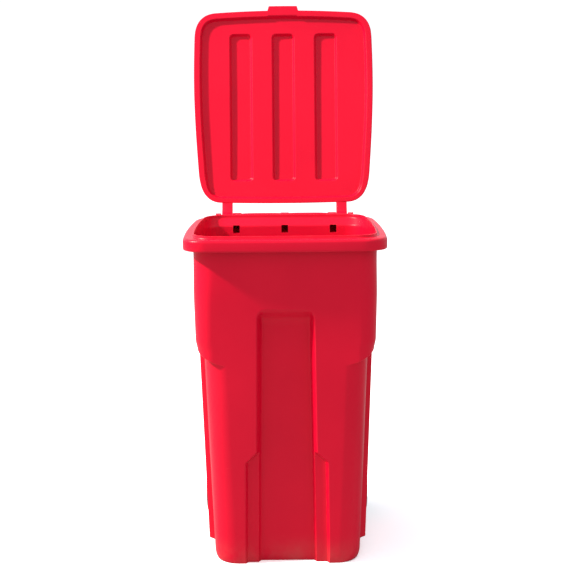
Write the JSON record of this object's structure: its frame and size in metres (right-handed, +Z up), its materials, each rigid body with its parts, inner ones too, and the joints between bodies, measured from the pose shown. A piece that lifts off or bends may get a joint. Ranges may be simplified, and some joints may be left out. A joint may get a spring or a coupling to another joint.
{
  "type": "wheeled refuse bin",
  "caption": "Tall wheeled plastic refuse bin, standing with its ribbed lid thrown open on swan-neck arms; tapered tub with a recessed front, rear handle bar and wheels on a steel axle.",
  "frame": {"origin": "centre of the tub's flat underside, on the ground plane, midway between the rim's front and back edges", "axes": "+Z up, +Y to the back where the handle and wheels are, +X along the wheel axle to the right as seen from the front"},
  "size_m": [0.584, 0.801, 1.6312],
  "materials": {
    "red_plastic": "satin, finely grained, saturated red polyethylene",
    "black_plastic": "satin black moulded plastic",
    "grey_nylon": "plain grey nylon",
    "tyre_rubber": "dull black solid rubber",
    "zinc_steel": "bright zinc-plated steel"
  },
  "bodies": {
    "tub": {"tub": "red_plastic", "axle": "zinc_steel", "lid_pin_right": "red_plastic", "lid_pin_left": "red_plastic", "pin_plug_right": "red_plastic", "pin_plug_left": "red_plastic", "axle_spacer_right": "grey_nylon", "axle_spacer_left": "grey_nylon", "axle_washer_right": "zinc_steel", "axle_washer_left": "zinc_steel", "lock_ring_right": "zinc_steel", "lock_ring_left": "zinc_steel"},
    "lid": {"lid": "red_plastic"},
    "wheel_right": {"tyre_right": "tyre_rubber", "wheel_core_right": "black_plastic", "hub_cap_right": "black_plastic"},
    "wheel_left": {"tyre_left": "tyre_rubber", "wheel_core_left": "black_plastic", "hub_cap_left": "black_plastic"}
  },
  "joints": [
    {"name": "lid_hinge", "type": "hinge", "parent": "tub", "child": "lid", "pos_m": [0, 0.35, 0.953], "axis": [1, 0, 0], "range_deg": [0, 100]},
    {"name": "wheel_right_spin", "type": "hinge", "parent": "tub", "child": "wheel_right", "pos_m": [0.235, 0.238, 0.1], "axis": [1, 0, 0], "continuous": true},
    {"name": "wheel_left_spin", "type": "hinge", "parent": "tub", "child": "wheel_left", "pos_m": [-0.235, 0.238, 0.1], "axis": [1, 0, 0], "continuous": true}
  ]
}
